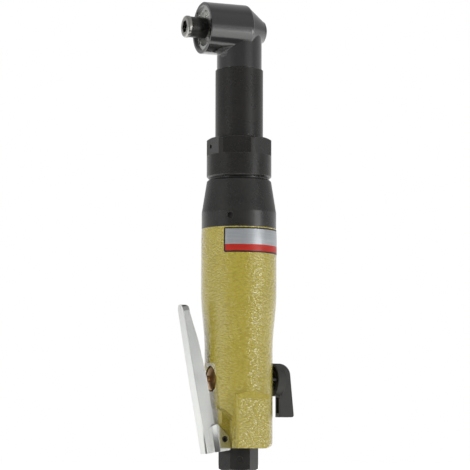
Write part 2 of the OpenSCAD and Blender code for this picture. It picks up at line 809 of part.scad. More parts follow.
// Ear and the joggle that joins it to the flange, on the -Y side
module lever_ear() {
  ear_in = lug_half + ear_gap;
  ear_out = ear_in + lever_sheet;
  flange_out = lever_half;
  flange_in = lever_half - lever_sheet;
  difference() {
    intersection() {
      translate([-lever_reach, 0, -lever_down])
        linear_extrude(lever_down + ear_edge * 3.6)
          polygon([
            [joggle_in - lever_sheet * 1.6, -flange_out], [joggle_in, -flange_out],
            [joggle_out, -ear_out], [lever_reach + ear_edge, -ear_out],
            [lever_reach + ear_edge, -ear_in], [joggle_out + lever_sheet * 0.9, -ear_in],
            [joggle_in + lever_sheet * 0.9, -flange_in],
            [joggle_in - lever_sheet * 1.6, -flange_in]]);
      rotate([90, 0, 0])
        linear_extrude(ear_out + over)
          polygon(concat(
            [[-lever_reach, -lever_down]],
            arc([ear_edge - lever_sheet, lever_sheet - lever_down], lever_sheet, -90, 0, 4),
            arc([ear_edge - lever_sheet, hinge_r * 0.8], lever_sheet, 0, 50, 3),
            arc([-hinge_r * 2.1, ear_edge * 3], lever_sheet, 50, 110, 3),
            [[-lever_reach, ear_edge * 2]]));
    }
    rotate([90, 0, 0])
      cylinder(r = hinge_r + run, h = ear_out + over);
  }
}

module throttle_lever() {
  color(polished)
    on_lever() {
      union() {
        intersection() {
          difference() {
            lever_body(0);
            lever_body(lever_sheet);
          }
          flange_side(0);
        }
        lever_ear();
        mirror([0, 1, 0])
          lever_ear();
      }
    }
}

// Slotted spring pin, pressed into the lug
module lever_hinge_pin() {
  half = lug_half + ear_gap + lever_sheet + play;
  slot = hinge_r * 0.3;
  color(black_steel)
    translate([-hinge_x, 0, hinge_z])
      rotate([90, 0, 0])
        difference() {
          tube(hinge_r, hinge_r * 0.5, -half, half);
          rotate(-40)
            translate([0, -slot / 2, -half - over])
              cube([hinge_r * 2, slot, 2 * half + 2 * over]);
        }
}

// Throttle valve

bush_in_x = bush_seat + bush_len - flat_x;
throttle_tip_x = -hinge_x - (lever_reach - lever_sheet) / cos(lever_lean)
  - (valve_h - hinge_h) * tan(lever_lean) + lever_gap;
disc_x = bush_in_x + play;

// Bronze bush with a domed head; the throttle pin slides in it
module throttle_bush() {
  seat_x = bush_seat - flat_x;
  dome_r = (bush_head_r * bush_head_r + bush_dome_h * bush_dome_h) / 2 / bush_dome_h;
  dome_a = asin(bush_head_r / dome_r);
  color(bronze)
    along_x(valve_z)
      difference() {
        rotate_extrude()
          polygon(concat(
            [[throttle_pin_r + run, bush_in_x], [valve_bore_r - run, bush_in_x],
             [valve_bore_r - run, seat_x], [bush_head_r, seat_x],
             [bush_head_r, seat_x - bush_rim_h]],
            [for (i = [1:5])
              let (a = dome_a * (1 - i / 6), r = dome_r * sin(a))
              [r, seat_x - bush_rim_h - bush_dome_h + dome_r * (1 - cos(a))]],
            [[throttle_pin_r + run, seat_x - bush_rim_h - bush_dome_h]]));
        rod(throttle_pin_r * 1.8, bush_in_x - bush_len * 0.5, bush_in_x + over);
        translate([0, 0, -bush_port_x])
          rotate([0, 90, 0])
            cylinder(r = port_r * 0.7, h = 4 * valve_bore_r, center = true);
      }
}

module throttle_pin() {
  tip_r = throttle_pin_r * 1.5;
  tip_a = asin(throttle_pin_r / tip_r);
  color(steel)
    along_x(valve_z)
      rotate_extrude()
        polygon(concat(
          [[0, disc_x + valve_disc_h * 1.4], [throttle_pin_r, disc_x + valve_disc_h * 1.4]],
          [for (i = [0:5])
            let (a = tip_a * (1 - i / 5))
            [tip_r * sin(a), throttle_tip_x + tip_r * (1 - cos(a))]]));
}

module throttle_valve_disc() {
  color(rubber)
    along_x(valve_z)
      tube(valve_disc_r, throttle_pin_r, disc_x, disc_x + valve_disc_h);
}

module throttle_spring() {
  from = disc_x + valve_disc_h;
  color(steel)
    along_x(valve_z)
      translate([0, 0, from])
        coil(valve_disc_r - valve_wire, valve_wire, 4, spool_x - from, 10);
}

// Reversing valve

o_ring_r = valve_bore_r / 6;
o_ring_x = [spool_end - 3 * o_ring_r, spool_x + 3 * o_ring_r];

// Rotary spool with a through port and two seal grooves, and the stem that carries the knob
module reverse_valve() {
  color(steel)
    along_x(valve_z)
      difference() {
        union() {
          rod(valve_bore_r - run, spool_x, spool_end);
          rod(stem_r, spool_end - over, knob_x + knob_hub_h * 0.9);
        }
        rod(valve_disc_r - 2 * valve_wire, spool_x - over, spool_port_x);
        translate([0, 0, spool_port_x])
          rotate([0, 90, 0])
            cylinder(r = port_r, h = 4 * valve_bore_r, center = true);
        for (x = o_ring_x)
          tube(2 * valve_bore_r, valve_bore_r - 1.6 * o_ring_r, x - o_ring_r, x + o_ring_r);
        translate([0, 0, knob_x + knob_hub_h / 2])
          rotate([90, 0, 0])
            cylinder(r = stop_r, h = 4 * stem_r, center = true);
      }
}

module valve_o_rings() {
  color(rubber)
    along_x(valve_z)
      for (x = o_ring_x)
        translate([0, 0, x])
          rotate_extrude()
            translate([valve_bore_r - run - o_ring_r * 0.72, 0])
              circle(r = o_ring_r * 0.72, $fn = 24);
}

module valve_retaining_ring() {
  color(steel)
    along_x(valve_z)
      difference() {
        tube(ring_groove_r, stem_r + 2 * run, spool_end, spool_end + ring_h);
        translate([-stem_r / 2, 0, spool_end - over])
          cube([stem_r, 2 * ring_groove_r, ring_h + 2 * over]);
      }
}

module knob_stop_pin() {
  color(steel)
    along_x(valve_z)
      translate([0, -stop_x, 0])
        rod(stop_r, stop_in_x, knob_x + knob_hub_h * 0.4);
}

// Moulded knob: a round hub with an arc slot for the stop pin, and a finger blade
module reverse_knob() {
  out_x = knob_x + knob_hub_h;
  corner = blade_out * 0.85;
  blade_in = out_x - knob_hub_h * 0.25;
  color(knob_black)
    difference() {
      union() {
        along_x(valve_z)
          rod(knob_hub_r, knob_x, out_x);
        translate([0, blade_w / 2, valve_z])
          rotate([90, 0, 0])
            linear_extrude(blade_w)
              polygon(concat(
                [[blade_in, 0], [knob_x, 0], [knob_x, knob_hub_r * 0.985]],
                arc([out_x + blade_out - corner * 1.5, knob_hub_r * 0.985 - corner * 1.5],
                    corner * 1.5, 90, 0, 8),
                arc([out_x + blade_out + blade_flare - knob_hub_h * 0.25,
                     knob_hub_h * 0.25 - blade_down], knob_hub_h * 0.25, 0, -90, 4),
                [[blade_in, -blade_down]]));
      }
      along_x(valve_z) {
        rod(stem_r, knob_x - over, knob_x + knob_hub_h * 0.9);
        // Arc slot for the stop pin, one quarter turn long
        intersection() {
          tube(stop_x + stop_r + play, stop_x - stop_r - play, knob_x - over,
               knob_x + knob_hub_h * 0.55);
          translate([0, 0, knob_x - over])
            linear_extrude(knob_hub_h)
              polygon(concat([[0, 0]], arc([0, 0], knob_hub_r * 1.2,
                                           -90, -90 - knob_turn, 12)));
        }
        for (a = [-90, -90 - knob_turn])
          rotate(a)
            translate([stop_x, 0, knob_x - over])
              cylinder(r = stop_r + play, h = over + knob_hub_h * 0.55);
        // Small blind hole in the inner face
        rotate(-35)
          translate([stop_x, 0, knob_x - over])
            cylinder(r = stop_r * 0.9, h = over + knob_hub_h * 0.3);
      }
      // Hollow in the blade's inner side
      translate([out_x, 0, valve_z - blade_down * 0.68])
        cube([knob_hub_h * 1.4, blade_w * 0.6, blade_down * 0.42], center = true);
      // Hole for the cross pin, drilled from the +Y side
      translate([knob_x + knob_hub_h / 2, 0, valve_z])
        rotate([-90, 0, 0])
          rod(stop_r, -stem_r - stop_r, knob_hub_r + over);
    }
}

module knob_cross_pin() {
  color(steel)
    translate([knob_x + knob_hub_h / 2, 0, valve_z])
      rotate([90, 0, 0])
        cylinder(r = stop_r, h = 2 * (stem_r + stop_r), center = true);
}

// Air motor

module rear_end_plate() {
  color(steel)
    difference() {
      tube(motor_bore_r, small_bearing_in + 2 * play, motor_z, liner_z - play / 3);
      rod(small_bearing_out, liner_z - small_bearing_w - play / 3, liner_z);
      for (x = [-bush_port_x, spool_port_x])
        translate([x, 0, motor_z - over])
          cylinder(r = port_r, h = rear_plate_h + 2 * over);
      translate([0, -exhaust_y, motor_z - over])
        cylinder(r = exhaust_r, h = rear_plate_h + 2 * over);
    }
}

module rear_bearing() {
  color(steel)
    translate([0, 0, liner_z - small_bearing_w - play / 3])
      ball_bearing(small_bearing_in, small_bearing_out, small_bearing_w, 7);
}

// Liner whose bore is off centre, with rows of exhaust ports on its wide side
module cylinder_liner() {
  color(steel)
    difference() {
      rod(motor_bore_r, liner_z, front_plate_z);
      translate([0, liner_offset, 0])
        rod(liner_bore_r, liner_z - over, front_plate_z + over);
      for (i = [1:4], a = [-35, 0, 35])
        translate([0, 0, liner_z + liner_h * i / 5])
          rotate([-90, 0, a])
            cylinder(r = port_r / 2, h = 2 * motor_bore_r);
      translate([0, -exhaust_y - exhaust_r / 2, liner_z - over])
        cylinder(r = exhaust_r / 2, h = liner_h * 0.6);
    }
}

vane_slot_r = rotor_r - vane_h;

module vane_slots(w, inner, outer, z0, z1) {
  for (i = [0:vane_count - 1])
    rotate(i * 360 / vane_count)
      translate([inner, -w / 2, z0])
        cube([outer - inner, w, z1 - z0]);
}

module rotor() {
  color(steel)
    difference() {
      union() {
        rod(rotor_r, liner_z + play, front_plate_z - play);
        rod(small_bearing_in - run / 2, liner_z - small_bearing_w - play, gear_z);
        rod(sun_bore_r, gear_z - over, planet_top);
      }
      vane_slots(vane_w + run * 2, vane_slot_r, rotor_r + over, liner_z - over,
                 front_plate_z + over);
    }
}

sun_bore_r = small_bearing_in * 0.8;

module rotor_vanes() {
  color(vane_resin)
    vane_slots(vane_w, vane_slot_r + run * 2, rotor_r + run, liner_z + play, front_plate_z - play);
}

module front_end_plate() {
  color(steel)
    difference() {
      tube(motor_bore_r, small_bearing_in + 2 * play, front_plate_z + play / 3, gear_z);
      rod(small_bearing_out, front_plate_z, front_plate_z + play / 3 + small_bearing_w);
    }
}

module front_bearing() {
  color(steel)
    translate([0, 0, front_plate_z + play / 3])
      ball_bearing(small_bearing_in, small_bearing_out, small_bearing_w, 7);
}

// Planetary gears

module sun_gear() {
  color(steel)
    translate([0, 0, gear_z + play])
      difference() {
        spur(sun_teeth, gear_module, planet_top - gear_z - play, backlash / 2);
        translate([0, 0, -over])
          cylinder(r = sun_bore_r, h = planet_top - gear_z + 2 * over);
      }
}

module ring_gear() {
  color(steel)
    translate([0, 0, gear_z])
      difference() {
        cylinder(r = motor_bore_r, h = planet_top - gear_z);
        rotate(180 / ring_teeth)
          translate([0, 0, -over])
            linear_extrude(planet_top - gear_z + 2 * over)
              polygon(spur_outline(ring_teeth, gear_module, gear_module * dedendum_share,
                                   gear_module * addendum_share, -backlash / 2));
      }
}

// Planet gear at one of the carrier's pins; a tooth gap faces the sun gear
module planet_gear(i) {
  color(steel)
    rotate(i * 360 / planet_count)
      translate([gear_distance, 0, planet_z])
        difference() {
          rotate(180 / planet_teeth)
            spur(planet_teeth, gear_module, planet_w, backlash / 2);
          translate([0, 0, -over])
            cylinder(r = planet_pin_r + run, h = planet_w + 2 * over);
        }
}

module planet_gear_1() {
  planet_gear(0);
}

module planet_gear_2() {
  planet_gear(1);
}

module planet_gear_3() {
  planet_gear(2);
}

module at_planets() {
  for (i = [0:planet_count - 1])
    rotate(i * 360 / planet_count)
      translate([gear_distance, 0, 0])
        children();
}

module planet_pins() {
  color(steel)
    at_planets()
      rod(planet_pin_r, planet_z - play, carrier_z + carrier_h);
}

module planet_carrier() {
  disc_r = gear_distance + planet_pin_r * 2;
  color(steel)
    difference() {
      union() {
        rod(disc_r, carrier_z, carrier_z + carrier_h);
        rod(carrier_hub_r - run / 2, carrier_z + carrier_h - over, driver_z - play);
        hex(carrier_flats, driver_z - over, driver_z + carrier_flats);
      }
      at_planets()
        rod(planet_pin_r, carrier_z - over, carrier_z + carrier_h + over);
      rod(sun_bore_r + play, carrier_z - over, carrier_z + carrier_h / 2);
    }
}

module carrier_bearing() {
  color(steel)
    translate([0, 0, carrier_bearing_z])
      ball_bearing(carrier_hub_r, carrier_bearing_out, carrier_bearing_w, 9);
}

// Motor cap

module motor_cap() {
  spigot_in = motor_bore_r;
  color(black_steel)
    difference() {
      union() {
        rod(mouth_thread_r - run / 2, handle_top - mouth_thread_h + play, handle_top + over);
        rotate_extrude($fn = 96)
          polygon([[0, handle_top], [mouth_r, handle_top], [mouth_r, cap_edge_z],
                   [cap_top_r, cap_edge_z + cap_taper_h], [cap_top_r - cap_chamfer, cap_top],
                   [0, cap_top]]);
        rod(neck_thread_r, cap_top - over, flange_z);
      }
      rod(spigot_in, handle_top - mouth_thread_h, carrier_bearing_z - play);
      rod(carrier_bearing_out, carrier_bearing_z - over, bearing_shoulder_z);
      rod(clutch_room_r, bearing_shoulder_z - over, flange_z + over);
      for (a = [234, 54])
        rotate(a)
          translate([0, 0, handle_top + cap_band_h * 0.67])
            rotate([0, 90, 0])
              rod(spanner_r, mouth_r - spanner_h, mouth_r + over);
    }
}

clutch_room_r = neck_bore_r;

// Torque clutch

driver_z = bearing_shoulder_z + 2 * play;
driver_top = nut_z + nut_round_h * 0.3;
jaw_z = driver_top + clutch_tooth_h + play;
jaw_h = clutch_r * 0.7;

shaft_hole_r = shaft_flats / 2 / cos(30) + 3 * play;
tooth_gap = 180 / clutch_teeth + 4;

// Cuts the gaps between the clutch teeth from z0 to z1, with flanks that point to the axis
module clutch_gaps(z0, z1, turn) {
  side = [cos(tooth_gap / 2), sin(tooth_gap / 2)];
  mirrored = [side[0], -side[1]];
  near = shaft_flats / 4;
  translate([0, 0, z0])
    for (i = [0:clutch_teeth - 1])
      rotate(turn + i * 360 / clutch_teeth)
        linear_extrude(z1 - z0)
          polygon([near * mirrored, 2 * clutch_r * mirrored, 2 * clutch_r * side, near * side]);
}

module clutch_driver() {
  color(steel)
    difference() {
      rod(clutch_r, driver_z, driver_top + clutch_tooth_h);
      clutch_gaps(driver_top, jaw_z, 180 / clutch_teeth);
      hex(carrier_flats + 2 * run, driver_z - over, driver_z + carrier_flats + play);
      rod(shaft_hole_r, driver_z + carrier_flats + 4 * play, jaw_z);
    }
}

module clutch_jaw() {
  color(steel)
    difference() {
      rod(clutch_r, driver_top + play, jaw_z + jaw_h);
      clutch_gaps(driver_top, jaw_z, 0);
      hex(shaft_flats + 2 * run, driver_top, jaw_z + jaw_h + over);
    }
}

spring_z = jaw_z + jaw_h;
adjuster_z = spring_z + clutch_wire * clutch_turns * 1.75;

module clutch_spring() {
  color(steel)
    translate([0, 0, spring_z + run])
      coil(clutch_r - clutch_wire * 0.75, clutch_wire, clutch_turns,
           adjuster_z - spring_z - 2 * run, 12);
}

module clutch_adjuster() {
  color(black_steel)
    difference() {
      tube(clutch_r, shaft_flats / 2, adjuster_z, adjuster_z + adjuster_h);
      for (a = [0:90:270])
        rotate(a)
          translate([clutch_r * 0.75, 0, adjuster_z + adjuster_h * 0.6])
            cylinder(r = adjuster_h / 5, h = adjuster_h);
    }
}

// Shaft of the clutch jaw, threaded for the adjusting nut, with the bevel pinion at its top
module pinion_shaft() {
  bearing_top = spigot_z + 2 * small_bearing_w + spacer_h;
  pinion_back = spindle_z - wheel_teeth * bevel_module / 2 - bevel_module;
  color(steel)
    union() {
      hex(shaft_flats, driver_top - play * 4, spring_z + clutch_wire);
      rod(shaft_flats / 2, spring_z, adjuster_z + adjuster_h + play);
      rod(small_bearing_in - run / 2, adjuster_z + adjuster_h - over, bearing_top);
      rod(small_bearing_in * 1.5, bearing_top + play, pinion_back);
      rod(small_bearing_in - run / 2, bearing_top - over, pinion_back);
      translate([0, 0, spindle_z])
        bevel(pinion_teeth, bevel_module, pinion_cone, bevel_face, backlash / 2);
    }
}

// Coupling nut and neck

module coupling_nut() {
  hex_z = nut_z + nut_round_h;
  chamfer = cap_chamfer;
  corner_r = nut_flats / 2 / cos(30);
  color(black_steel)
    difference() {
      intersection() {
        union() {
          rotate_extrude($fn = 96)
            polygon([[0, nut_z], [nut_r - chamfer, nut_z], [nut_r, nut_z + chamfer],
                     [nut_r, hex_z], [0, hex_z]]);
          rotate(nut_turn)
            hex(nut_flats, hex_z - over, nut_top);
        }
        rotate_extrude($fn = 96)
          polygon([[0, nut_z], [nut_r, nut_z], [nut_r, nut_top - chamfer],
                   [nut_r - 2 * chamfer, nut_top], [0, nut_top]]);
      }
      rod(neck_thread_r + run, nut_z - over, flange_z);
      rod(neck_flange_r + run, flange_z - over, nut_shoulder);
      rod(neck_r + run, nut_shoulder - over, nut_top + over);
      rotate(nut_turn + 171)
        translate([0, 0, hex_z + nut_hex_h / 2])
          rotate([0, 90, 0])
            rod(spanner_r * 0.7, nut_flats / 2 - nut_wall / 3, corner_r + over);
    }
}

module neck_tube() {
  color(black_steel)
    difference() {
      union() {
        rod(neck_flange_r, flange_z, nut_shoulder);
        rotate_extrude()
          polygon([[0, flange_z], [neck_r, flange_z], [neck_r, neck_top - cap_chamfer / 2],
                   [neck_r - cap_chamfer / 2, neck_top], [0, neck_top]]);
      }
      rod(neck_bore_r, flange_z - over, neck_top + over);
      rod(spigot_r, neck_top - spigot_h, neck_top + over);
    }
}

// Angle head

spigot_z = neck_top - spigot_h;
spacer_h = spigot_h * 0.6;
bearing_x = retainer_h + retainer_sink - head_front;
wheel_r = wheel_teeth * bevel_module / 2;
pinion_r = pinion_teeth * bevel_module / 2;
wheel_room = wheel_r + 1.5 * bevel_module;
bush_x = head_back;
head_edge_turn = 60;

// Angle head: round stem, crosswise barrel with a coned back, bored for bearings and gears
module angle_head() {
  end_x = head_back + head_cone;
  edge_x = head_back - head_edge * sin(head_edge_turn);
  color(black_steel)
    difference() {
      union() {
        rod(spigot_r - run / 2, spigot_z, neck_top + over);
        rod(stem_out_r, neck_top, spindle_z);
        along_x(spindle_z)
          rotate_extrude()
            polygon(concat(
              [[0, -head_front], [head_r - play * 2, -head_front],
               [head_r, play * 2 - head_front]],
              arc([head_r - head_edge, edge_x], head_edge, 0, head_edge_turn, 5),
              [for (i = [0:4])
                [head_end_r * cos(i * 90 / 4), end_x + head_end_h * sin(i * 90 / 4)]]));
      }
      // Bearings and pinion, along the stem
      rod(small_bearing_out, spigot_z - over, spigot_z + 2 * small_bearing_w + spacer_h);
      rod(pinion_r + 2 * bevel_module, neck_top, spindle_z);
      // Retaining ring, bearing, wheel and rear bush, along the barrel
      along_x(spindle_z) {
        rod(retainer_r, -head_front - over, bearing_x);
        rod(spindle_bearing_out, bearing_x - over, -pinion_r / 2);
        rod(pinion_r + bevel_module, -pinion_r / 2 - over, bush_x);
        rod(rear_bush_r, bush_x - over, bush_x + rear_bush_h);
      }
    }
}

module lower_pinion_bearing() {
  color(steel)
    translate([0, 0, spigot_z])
      ball_bearing(small_bearing_in, small_bearing_out, small_bearing_w, 7);
}

module pinion_spacer() {
  color(steel)
    tube(small_bearing_out, small_bearing_out * 0.8, spigot_z + small_bearing_w,
         spigot_z + small_bearing_w + spacer_h);
}

module upper_pinion_bearing() {
  color(steel)
    translate([0, 0, spigot_z + small_bearing_w + spacer_h])
      ball_bearing(small_bearing_in, small_bearing_out, small_bearing_w, 7);
}

// Bevel wheel, pressed on the spindle; a tooth gap faces the pinion
module bevel_gear() {
  color(steel)
    along_x(spindle_z)
      difference() {
        union() {
          rotate(180 / wheel_teeth)
            bevel(wheel_teeth, bevel_module, wheel_cone, bevel_face, backlash / 2);
          rod(wheel_r * 0.7, bearing_x + spindle_bearing_w, -pinion_r);
        }
        rod(spindle_seat_r, bearing_x, 0);
      }
}

nose_x = -head_front - nose_out;

module spindle() {
  socket_end = nose_x + socket_h;
  color(steel)
    along_x(spindle_z)
      difference() {
        union() {
          rod(nose_r, nose_x, bearing_x);
          rod(spindle_bearing_in, bearing_x, bearing_x + spindle_bearing_w);
          rod(spindle_seat_r, bearing_x + spindle_bearing_w - over, -pinion_r * 0.7);
          rod(small_bearing_in - run, -pinion_r * 0.7 - over, bush_x + rear_bush_h);
        }
        hex(socket_flats, nose_x - over, socket_end);
        translate([0, 0, ball_x])
          rotate([0, -90, 0])
            cylinder(r = bit_ball_r + run, h = 2 * nose_r);
      }
}

module spindle_bush() {
  color(bronze)
    along_x(spindle_z)
      tube(rear_bush_r, small_bearing_in, bush_x, bush_x + rear_bush_h);
}

bearing_mid_r = (spindle_bearing_out + spindle_bearing_in) / 2;
bearing_ball_r = (spindle_bearing_out - spindle_bearing_in) * 0.26;
bearing_land_r = bearing_ball_r * 0.55;

module spindle_race() {
  rotate_extrude()
    translate([bearing_mid_r, bearing_x + spindle_bearing_w / 2])
      circle(r = bearing_ball_r + play / 5);
}

// Outer ring with its shield, and the balls
module spindle_bearing() {
  color(steel)
    along_x(spindle_z) {
      difference() {
        union() {
          tube(spindle_bearing_out, bearing_mid_r + bearing_land_r, bearing_x,
               bearing_x + spindle_bearing_w);
          tube(spindle_bearing_out - bearing_land_r, bearing_mid_r - bearing_land_r + play,
               bearing_x + run * 4, bearing_x + spindle_bearing_w / 2 - bearing_ball_r - play);
        }
        spindle_race();
      }
      for (i = [0:8])
        rotate(i * 40)
          translate([bearing_mid_r, 0, bearing_x + spindle_bearing_w / 2])
            sphere(r = bearing_ball_r);
    }
}

module spindle_bearing_inner() {
  color(steel)
    along_x(spindle_z)
      difference() {
        tube(bearing_mid_r - bearing_land_r, spindle_bearing_in, bearing_x,
             bearing_x + spindle_bearing_w);
        spindle_race();
      }
}

// Threaded ring in the barrel's mouth, with four spanner notches
module bearing_retainer() {
  notch = retainer_h * 0.7;
  color(black_steel)
    along_x(spindle_z)
      difference() {
        tube(retainer_r, retainer_in_r, bearing_x - retainer_h, bearing_x);
        for (a = [45:90:315])
          rotate(a)
            translate([retainer_in_r - over, -notch / 2, bearing_x - retainer_h - over])
              cube([over + (retainer_r - retainer_in_r) * 0.6, notch, over + retainer_h * 0.35]);
      }
}

// Quick change chuck

collar_x = nose_x + collar_h;
sleeve_relief = collar_x + sleeve_h * 0.12;
ball_x = collar_x + sleeve_h * 0.27;
sleeve_land = collar_x + sleeve_h * 0.42;
sleeve_room_r = nose_r + chuck_wire + 3 * run;

// Sleeve whose inner land keeps the ball in the bit's groove until it is drawn back
module chuck_sleeve() {
  edge = play * 2;
  color(black_steel)
    along_x(spindle_z)
      rotate_extrude()
        polygon([
          [sleeve_room_r, collar_x], [sleeve_r - edge, collar_x], [sleeve_r, collar_x + edge],
          [sleeve_r, collar_x + sleeve_h - edge], [sleeve_r - edge, collar_x + sleeve_h],
          [sleeve_room_r, collar_x + sleeve_h], [sleeve_room_r, sleeve_land],
          [nose_r + run, sleeve_land], [nose_r + run, sleeve_relief],
          [sleeve_room_r, sleeve_relief]]);
}

module chuck_collar() {
  edge = collar_h * 0.35;
  color(polished)
    along_x(spindle_z)
      rotate_extrude()
        polygon(concat(
          [[nose_r, nose_x]],
          arc([collar_r - edge, nose_x + edge], edge, -90, 0, 5),
          arc([collar_r - edge / 2, collar_x - play - edge / 2], edge / 2, 0, 90, 3),
          [[nose_r, collar_x - play]]));
}

module chuck_spring() {
  color(steel)
    along_x(spindle_z)
      translate([0, 0, sleeve_land])
        coil(sleeve_room_r - run / 2 - chuck_wire / 2, chuck_wire, 5,
             bearing_x - sleeve_land, 16);
}

module bit_ball() {
  color(steel)
    along_x(spindle_z)
      translate([-(nose_r - bit_ball_r), 0, ball_x])
        sphere(r = bit_ball_r);
}

inlet_bushing();
inlet_screen();
handle_housing();
exhaust_silencer();
throttle_lever();
lever_hinge_pin();
throttle_bush();
throttle_pin();
throttle_valve_disc();
throttle_spring();
reverse_valve();
valve_o_rings();
valve_retaining_ring();
knob_stop_pin();
reverse_knob();
knob_cross_pin();
rear_end_plate();
rear_bearing();
cylinder_liner();
rotor();
rotor_vanes();
front_end_plate();
front_bearing();
sun_gear();
ring_gear();
planet_gear_1();
planet_gear_2();
planet_gear_3();
planet_pins();
planet_carrier();
carrier_bearing();
motor_cap();
clutch_driver();
clutch_jaw();
clutch_spring();
clutch_adjuster();
pinion_shaft();
coupling_nut();
neck_tube();
angle_head();
lower_pinion_bearing();
pinion_spacer();
upper_pinion_bearing();
bevel_gear();
spindle();
spindle_bush();
spindle_bearing();
spindle_bearing_inner();
bearing_retainer();
chuck_sleeve();
chuck_collar();
chuck_spring();
bit_ball();
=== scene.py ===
"""Pneumatic angle screwdriver: finishes, label plate, inlet thread, studio and camera.

Metres, in the CAD frame: Z runs from the air inlet up to the angle head, the spindle and the lever
are on the -X side, the reversing knob on the +X side and the valve pad on the -Y side.
"""

import json
import math

import bmesh
import bpy
from mathutils import Matrix, Vector


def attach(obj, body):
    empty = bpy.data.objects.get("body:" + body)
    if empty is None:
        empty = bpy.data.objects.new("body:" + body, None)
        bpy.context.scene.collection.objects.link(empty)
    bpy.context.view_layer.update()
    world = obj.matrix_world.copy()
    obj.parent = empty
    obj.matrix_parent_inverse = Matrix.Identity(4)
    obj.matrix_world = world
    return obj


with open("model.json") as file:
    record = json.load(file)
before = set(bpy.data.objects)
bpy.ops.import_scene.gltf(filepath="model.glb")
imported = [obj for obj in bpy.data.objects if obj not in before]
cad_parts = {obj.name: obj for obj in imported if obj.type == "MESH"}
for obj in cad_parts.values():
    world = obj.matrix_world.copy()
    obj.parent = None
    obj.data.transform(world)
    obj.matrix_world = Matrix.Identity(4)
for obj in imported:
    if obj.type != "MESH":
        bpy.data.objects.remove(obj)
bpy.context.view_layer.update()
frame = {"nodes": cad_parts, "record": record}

nodes = frame["nodes"]
MM = 0.001


def show(obj):
    """Links an object to the scene and gives it back."""
    bpy.context.scene.collection.objects.link(obj)
    return obj


def polar(radius, angle, height=0.0):
    """The point at a radius and an angle in radians round the Z axis."""
    return Vector((radius * math.cos(angle), radius * math.sin(angle), height))


# Camera

# The photo is taken from 23 degrees left of the pad's side, from 1.25 m away and the inlet's height
CAMERA_AZIMUTH = math.radians(247)
CAMERA_DISTANCE = 1.25
CAMERA_HEIGHT = 5 * MM
CAMERA_ROLL = math.radians(0.15)
CAMERA_LENS = 173.3
SENSOR_WIDTH = 36
NEAR_CLIP = 0.05
AIM_HEIGHT = 130 * MM
AIM_LEFT = 2.15 * MM


def aim(obj, target, roll=0.0):
    """Turns obj so that it looks at target, then rolls it about its own line of sight."""
    look = (target - obj.location).to_track_quat("-Z", "Y").to_matrix()
    obj.rotation_euler = (look @ Matrix.Rotation(roll, 3, "Z")).to_euler()


camera_side = Vector((math.cos(CAMERA_AZIMUTH), math.sin(CAMERA_AZIMUTH), 0))
camera_right = Vector((-camera_side.y, camera_side.x, 0))
camera = show(bpy.data.objects.new("camera", bpy.data.cameras.new("camera")))
camera.data.sensor_width = SENSOR_WIDTH
camera.data.lens = CAMERA_LENS
camera.data.clip_start = NEAR_CLIP
camera.location = camera_side * CAMERA_DISTANCE + Vector((0, 0, CAMERA_HEIGHT))
aim(camera, Vector((0, 0, AIM_HEIGHT)) - camera_right * AIM_LEFT, CAMERA_ROLL)
bpy.context.scene.camera = camera


# Material tools

# The values that a noise texture mostly keeps to
NOISE_LOW, NOISE_HIGH = 0.3, 0.7
NOISE_SPAN = {"From Min": NOISE_LOW, "From Max": NOISE_HIGH}
EDGE_SAMPLES = 4


def linear(code):
    """An sRGB hex colour as the linear colour that Blender's sockets take."""
    parts = [int(code[i:i + 2], 16) / 255 for i in (1, 3, 5)]
    return (*[c / 12.92 if c <= 0.04045 else ((c + 0.055) / 1.055) ** 2.4 for c in parts], 1)


def link(tree, node, links):
    """Links a node's sockets; links are socket: (node, output)."""
    for name, (source, output) in links.items():
        tree.links.new(source.outputs[output], node.inputs[name])


def add(tree, kind, settings=None, links=None):
    """Adds a node; settings are its properties or sockets, links are socket: (node, output).

    The setting "stops" holds a colour ramp's (position, colour) pairs.
    """
    node = tree.nodes.new(kind)
    for name, value in (settings or {}).items():
        if name == "stops":
            elements = node.color_ramp.elements
            elements[0].position, elements[0].color = value[0]
            elements[1].position, elements[1].color = value[-1]
            for position, colour in value[1:-1]:
                elements.new(position).color = colour
        elif isinstance(name, str) and hasattr(node, name):
            setattr(node, name, value)
        else:
            node.inputs[name].default_value = value
    link(tree, node, links or {})
    return node


def start(name, settings):
    """A new material, its node tree, its shader and the object's own coordinates in metres."""
    material = bpy.data.materials.new(name)
    material.use_nodes = True
    tree = material.node_tree
    shader = tree.nodes["Principled BSDF"]
    for socket, value in settings.items():
        shader.inputs[socket].default_value = value
    return material, tree, shader, (add(tree, "ShaderNodeTexCoord"), "Object")


# Finishes

